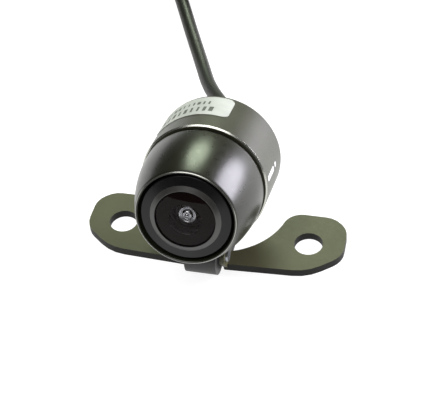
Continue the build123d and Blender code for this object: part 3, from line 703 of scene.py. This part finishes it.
# silver on the second glass's steps: a painted reflection for the glints of the inner glass surfaces
steps_painted_reflection = metal("optical_glass_steps_painted_reflection", "#c4c4c8", "#ececf0", (0.12, 0.22), 0.2,
                    (1, 1, 1))
clear_glass = glass_under_tinted_sheet("optical_glass_back_polished", "#0c0a0b", 0.04, 1.5)
inner_glass = glass_under_tinted_sheet("optical_glass_inner_coated", "#2a282c", 0.75, 2.2)
anodised = coated("aluminium_barrel_black_anodised", ("#0b0b0c", "#111113"), 2.0, (0.35, 0.5),
                  0.12, 0.008)


def bulge(radius, centre, first, last, steps=12):
    """Section corners on a sphere of that radius about a point of the axis, from one
    distance off the axis to another. A negative radius bulges towards the sensor."""
    out = []
    for k in range(steps + 1):
        off = first + (last - first) * k / steps
        out.append((off, centre - math.copysign(math.sqrt(radius ** 2 - off ** 2), radius), 0))
    return out


hollow_centre = APEX + MIDDLE + HOLLOW
hollow_edge = math.sqrt(HOLLOW ** 2 - (hollow_centre - SEAT) ** 2)
front_section = bulge(DOME, APEX + DOME, 0, LENS_R - 0.1, 24) + [
    (LENS_R, -0.12, 0.04), (LENS_R, SEAT, 0.05)] + bulge(
    HOLLOW, hollow_centre, hollow_edge, 0, 16)
front_lens = mesh_piece("front_glass", *turned(front_section, on_head, 128, 0), front_glass,
                        clear_glass, margin_painted_shade_glass)
# back faces take the clear finish; front faces beyond CLEAR_R take the dark sheet of painted shade
for face in front_lens.data.polygons:
    along, out = on_axis(face)
    if along > -0.1:
        face.material_index = 1
    elif out > CLEAR_R:
        face.material_index = 2
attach(front_lens, "head")
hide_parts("front_lens")

barrel_section = [(6.25, 2.35, 0.05), (7.4, 2.35, 0.1), (7.4, 4.65, 0.1), (5.9, 4.65, 0.1),
                  (5.9, 14.65, 0.15), (3.2, 14.65, 0), (3.2, 8.95, 0), (4.6, 8.95, 0),
                  (4.6, SEAT, 0.05), (6.25, SEAT, 0)]
barrel = mesh_piece("lens_cell", *turned(barrel_section, on_head, 96), anodised)
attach(barrel, "head")
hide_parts("lens_barrel")

second = turned(bulge(0.58, 1.48, 0, 0.52, 8) + [(0.64, 1.48, 0.05), (0.72, 1.25, 0.05)]
                + bulge(1.5, 2.4, 0.8, 1.32, 6) + [(1.44, 2.0, 0.05), (1.55, 2.0, 0.05)]
                + bulge(2.65, 3.5, 1.67, 2.3, 8) + [(2.36, 2.35, 0), (2.36, 4.45, 0)]
                + [(4.55, 4.45, 0.05), (4.55, 6.3, 0.05), (3.2, 6.3, 0)]
                + bulge(4.6, 10.0, 2.9, 0, 10), on_head, 96, 0)
third = turned(bulge(4.2, 13.55, 0, 3.0, 10) + [(3.15, 10.8, 0), (3.15, 11.25, 0), (3.0, 11.3, 0)]
               + bulge(-9.0, 2.75, 2.8, 0, 8), on_head, 72, 0)
fourth = turned(bulge(12.0, 23.95, 0, 3.0, 6) + [(3.15, 12.4, 0), (3.15, 13.45, 0), (2.9, 13.5, 0)]
                + bulge(-8.0, 5.85, 2.7, 0, 8), on_head, 72, 0)


def together(*parts):
    """Points and faces of several parts as one list of each."""
    all_points, all_faces = [], []
    for points, faces in parts:
        all_faces += [tuple(i + len(all_points) for i in face) for face in faces]
        all_points += points
    return all_points, all_faces


inner_lenses = mesh_piece("inner_glasses", *together(second, third, fourth), inner_glass,
                          steps_painted_reflection)
# the front steps of the second glass take the silver painted reflection
for face in inner_lenses.data.polygons:
    face.material_index = int(on_axis(face)[0] < STEPS_END)
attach(inner_lenses, "head")
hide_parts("inner_lenses")

step_rings = [(4.55, 3.62, 0)]
for k in range(3):
    inward, forward = 0.33 * k, 0.32 * k
    step_rings += [(3.5 - inward, 3.2 - forward, 0.04), (3.3 - inward, 3.0 - forward, 0.04)]
step_rings += [(2.42, 1.95, 0.05), (2.42, 4.42, 0), (4.55, 4.42, 0)]
spacers = mesh_piece("lens_rings", *together(*(turned(section, on_head, 96) for section in (
    step_rings,
    [(4.55, 6.32, 0), (3.4, 6.32, 0.05), (2.6, 8.6, 0.05), (4.55, 8.6, 0)],
    [(3.15, 13.8, 0), (2.2, 13.8, 0.05), (2.2, 14.65, 0), (3.15, 14.65, 0)]))), anodised)
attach(spacers, "head")
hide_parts("lens_spacers")

# ------------------------------------------------------------------------------- inside
# Sensor, filter, circuit boards and their parts, sealed in the case. They keep their CAD
# shape, with the finish of the real materials.
filter_glass = glass_under_tinted_sheet("filter_glass_dichroic", "#7a2f38", 0.5, 1.6)
moulded_black = coated("pbt_part_moulded", ("#111112", "#19191a"), 3.0, (0.42, 0.56), 0.2, 0.015)
solder_mask = coated("fr4_board_green_mask", ("#0d4a2a", "#125a34"), 4.0, (0.25, 0.4), 0.3, 0.01)
chip_epoxy = coated("epoxy_chip_moulded", ("#151516", "#1f1f20"), 2.0, (0.5, 0.65), 0.1, 0.01)
wire_pvc = coated("pvc_wire_jacket", ("#b9a88c", "#c9b89c"), 3.0, (0.35, 0.5), 0.3, 0.01)
turned_brass = metal("brass_spacer_turned", "#a88640", "#c6a55a", (0.25, 0.38), 0.15, (1, 6, 6))
finished(rubber, "lens_seal", "housing_seal")
finished(anodised, "aperture_stop")
finished(filter_glass, "ir_cut_filter")
finished(inner_glass, "sensor_glass")
finished(moulded_black, "lens_holder", "board_header", "wire_socket")
finished(solder_mask, "sensor_board", "power_board")
finished(chip_epoxy, "image_sensor", "video_chips", "power_parts")
finished(turned_brass, "board_spacers")
finished(wire_pvc, "wire_plug", "inner_wires")
finished(lead_jacket, "cable_stub")

# ------------------------------------------------------------------------------- label
# White polyester sticker wrapped on the housing, with two rows of plain grey bars where
# such a label has print, and a plain white line and dot printed on the right side.
LABEL_T = 0.12
LABEL_TURN, LABEL_ALONG = (-60, 16), (20.0, 28.4)
PRINT_START = -50                        # degrees round from the housing's top


def wrapped(name, turn, along, corner, low, high, finish, columns=64, rows=6):
    """A thin patch with round corners, wrapped on the housing between two angles from its
    top and two distances behind the lip, from low to high above the paint."""
    arc = [math.radians(t) * HOUSING_R for t in turn]
    length = arc[1] - arc[0]
    points, faces = [], []
    for layer in (low, high):
        for i in range(columns + 1):
            share = 0.5 - 0.5 * math.cos(math.pi * i / columns)
            off = share * length
            edge = max(0.0, corner - min(off, length - off))
            cut = corner - math.sqrt(max(0.0, corner ** 2 - edge ** 2))
            for j in range(rows + 1):
                at = along[0] + cut + (along[1] - along[0] - 2 * cut) * j / rows
                t = (arc[0] + off) / HOUSING_R
                radius = HOUSING_R + layer
                points.append(on_head(radius * math.sin(t), at, radius * math.cos(t)))
    row, count = rows + 1, (rows + 1) * (columns + 1)
    for i in range(columns):
        for j in range(rows):
            k = i * row + j
            faces.append((k, k + 1, k + row + 1, k + row))
            faces.append((count + k, count + k + row, count + k + row + 1, count + k + 1))
    for i in range(columns):
        for j in (0, rows):
            k = i * row + j
            faces.append((k, k + row, count + k + row, count + k))
    for i in (0, columns):
        for j in range(rows):
            k = i * row + j
            faces.append((k, k + 1, count + k + 1, count + k))
    made = mesh_piece(name, points, faces, finish)
    made.data.set_sharp_from_angle(angle=math.radians(50))
    return made


film = coated("polyester_label_white", ("#a3a5a0", "#b0b2ac"), 5.0, (0.35, 0.5), 0.5, 0.006)
label = wrapped("label_sticker", LABEL_TURN, LABEL_ALONG, 1.6, 0.0, LABEL_T, film)
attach(label, "head")
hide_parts("serial_label")

print_tree, given = new_growth(
    "rows_of_bars", Bars="Int", Pitch="Float", Height="Float", Narrow="Float", Wide="Float",
    Thickness="Float", Seed="Int", Radius="Float", Start="Vector", Lean="Float", Lip="Vector",
    Finish="Material")
dots = add(print_tree, "GeometryNodeMeshLine", {"Count": given["Bars"]})
place_bar = add(print_tree, "ShaderNodeMath", {
    0: add(print_tree, "GeometryNodeInputIndex").outputs[0], 1: given["Pitch"]},
    operation="MULTIPLY")
offset = add(print_tree, "ShaderNodeCombineXYZ", {"X": place_bar.outputs[0]})
laid = add(print_tree, "GeometryNodeSetPosition", {
    "Geometry": dots.outputs[0],
    "Position": add(print_tree, "ShaderNodeVectorMath", {
        0: offset.outputs[0], 1: given["Start"]}, operation="ADD").outputs[0]})
width = add(print_tree, "FunctionNodeRandomValue", {
    2: given["Narrow"], 3: given["Wide"], "Seed": given["Seed"]}, data_type="FLOAT")
size = add(print_tree, "ShaderNodeCombineXYZ", {
    "X": width.outputs[1], "Y": given["Height"], "Z": given["Thickness"]})
bar = add(print_tree, "GeometryNodeMeshCube", {
    "Size": (1, 1, 1), "Vertices X": 4, "Vertices Y": 2, "Vertices Z": 2})
bars = add(print_tree, "GeometryNodeInstanceOnPoints", {
    "Points": laid.outputs[0], "Instance": bar.outputs[0], "Scale": size.outputs[0]})
solid = add(print_tree, "GeometryNodeRealizeInstances", {"Geometry": bars.outputs[0]})
flat = add(print_tree, "ShaderNodeSeparateXYZ", {
    "Vector": add(print_tree, "GeometryNodeInputPosition").outputs[0]})
angle = add(print_tree, "ShaderNodeMath", {0: flat.outputs["X"], 1: given["Radius"]},
            operation="DIVIDE")
reach = add(print_tree, "ShaderNodeMath", {0: flat.outputs["Z"], 1: given["Radius"]},
            operation="ADD")
over = add(print_tree, "ShaderNodeMath", {
    0: add(print_tree, "ShaderNodeMath", {0: angle.outputs[0]}, operation="SINE").outputs[0],
    1: reach.outputs[0]}, operation="MULTIPLY")
rise = add(print_tree, "ShaderNodeMath", {
    0: add(print_tree, "ShaderNodeMath", {0: angle.outputs[0]}, operation="COSINE").outputs[0],
    1: reach.outputs[0]}, operation="MULTIPLY")
bent = add(print_tree, "ShaderNodeCombineXYZ", {
    "X": over.outputs[0], "Y": flat.outputs["Y"], "Z": rise.outputs[0]})
wrapped_bars = add(print_tree, "GeometryNodeSetPosition", {
    "Geometry": solid.outputs[0], "Position": bent.outputs[0]})
lean = add(print_tree, "ShaderNodeCombineXYZ", {"X": given["Lean"]})
tilted = add(print_tree, "GeometryNodeTransform", {
    "Geometry": wrapped_bars.outputs[0], "Translation": given["Lip"],
    "Rotation": add(print_tree, "FunctionNodeEulerToRotation", {
        "Euler": lean.outputs[0]}).outputs[0]})
inked = add(print_tree, "GeometryNodeSetMaterial", {
    "Geometry": tilted.outputs[0], "Material": given["Finish"]})
add(print_tree, "NodeGroupOutput", {"Geometry": inked.outputs[0]})

ink = coated("label_ink_grey_printed", ("#3f423c", "#50534c"), 1.5, (0.45, 0.6), 0.2, 0.004)
LEAN = math.atan2(BACKWARD.z, BACKWARD.y)
print_rows = []
for title, bars_in_row, pitch, height, narrow, wide, along, seed in (
        ("first", 9, 1.42, 2.0, 0.35, 0.95, 22.6, 4),
        ("second", 10, 1.15, 1.3, 0.25, 0.8, 25.6, 9)):
    row = mesh_piece("print_" + title, [(0, 0, 0), (1, 0, 0), (0, 1, 0)], [(0, 1, 2)], ink)
    grown(row, print_tree, Bars=bars_in_row, Pitch=pitch * MM, Height=height * MM,
          Narrow=narrow * MM, Wide=wide * MM, Thickness=0.02 * MM, Seed=seed,
          Radius=(HOUSING_R + LABEL_T + 0.005) * MM,
          Start=Vector((math.radians(PRINT_START) * HOUSING_R, along, 0)) * MM, Lean=LEAN,
          Lip=LIP * MM, Finish=ink)
    print_rows.append(row)
label_print = joined("label_print", *print_rows)
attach(label_print, "head")

white_ink = coated("housing_mark_white_printed", ("#d2d3d0", "#e0e1de"), 2.0, (0.4, 0.55), 0.3,
                   0.004)
MARK_TURN, MARK_T = (79.5, 84.5), 0.03
mark = joined("side_mark",
              wrapped("mark_line", MARK_TURN, (16.4, 21.8), 0.5, 0.0, MARK_T, white_ink, 12, 12),
              wrapped("mark_dot", MARK_TURN, (22.8, 23.95), 0.55, 0.0, MARK_T, white_ink, 16, 4))
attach(mark, "head")

# ------------------------------------------------------------------------------- floor and light
# A pale light table of white acrylic, a soft box behind, a large one low on the right, a
# faint one above, and a dim room round them.
TABLE_HALF = 4000
table_top = mesh_piece("floor", [(x * TABLE_HALF, y * TABLE_HALF, -0.02) for x, y in square],
                       [(0, 1, 2, 3)])
acrylic, tree, place = new_material("acrylic_light_table")
speck = add(tree, "ShaderNodeTexNoise", {"Vector": place, "Scale": 40.0, "Detail": 2.0})
pale = add(tree, "ShaderNodeMix", {
    "Factor": speck.outputs["Fac"], 6: colour("#8f8f8f"), 7: colour("#989898")}, data_type="RGBA")
shader = add(tree, "ShaderNodeBsdfPrincipled", {
    "Base Color": pale.outputs[2], "Roughness": 0.7, "Emission Color": colour("#ffffff"),
    "Emission Strength": 0.9})
add(tree, "ShaderNodeOutputMaterial", {"Surface": shader.outputs["BSDF"]})
table_top.data.materials.append(acrylic)

for title, azimuth, elevation, spread, power, tint in (
        ("box_behind", -174, 38, 24, 2.0, "#eafadc"),
        ("box_right", 125, 15, 40, 6.6, "#f6f3ff"),
        ("box_above", -20, 76, 50, 2.0, "#ffffff")):
    lamp = bpy.data.lights.new(title, "SUN")
    lamp.angle = math.radians(spread)
    lamp.energy = power
    lamp.color = colour(tint)[:3]
    source = bpy.data.objects.new(title, lamp)
    source.rotation_mode = "QUATERNION"
    source.rotation_quaternion = direction(azimuth, elevation).to_track_quat("Z", "Y")
    scene.collection.objects.link(source)

room = bpy.data.worlds.new("room")
room.use_nodes = True
room.node_tree.nodes.clear()
sky = add(room.node_tree, "ShaderNodeBackground", {"Color": colour("#ffffff"), "Strength": 0.06})
add(room.node_tree, "ShaderNodeOutputWorld", {"Surface": sky.outputs["Background"]})
scene.world = room
scene.view_settings.view_transform = "Standard"
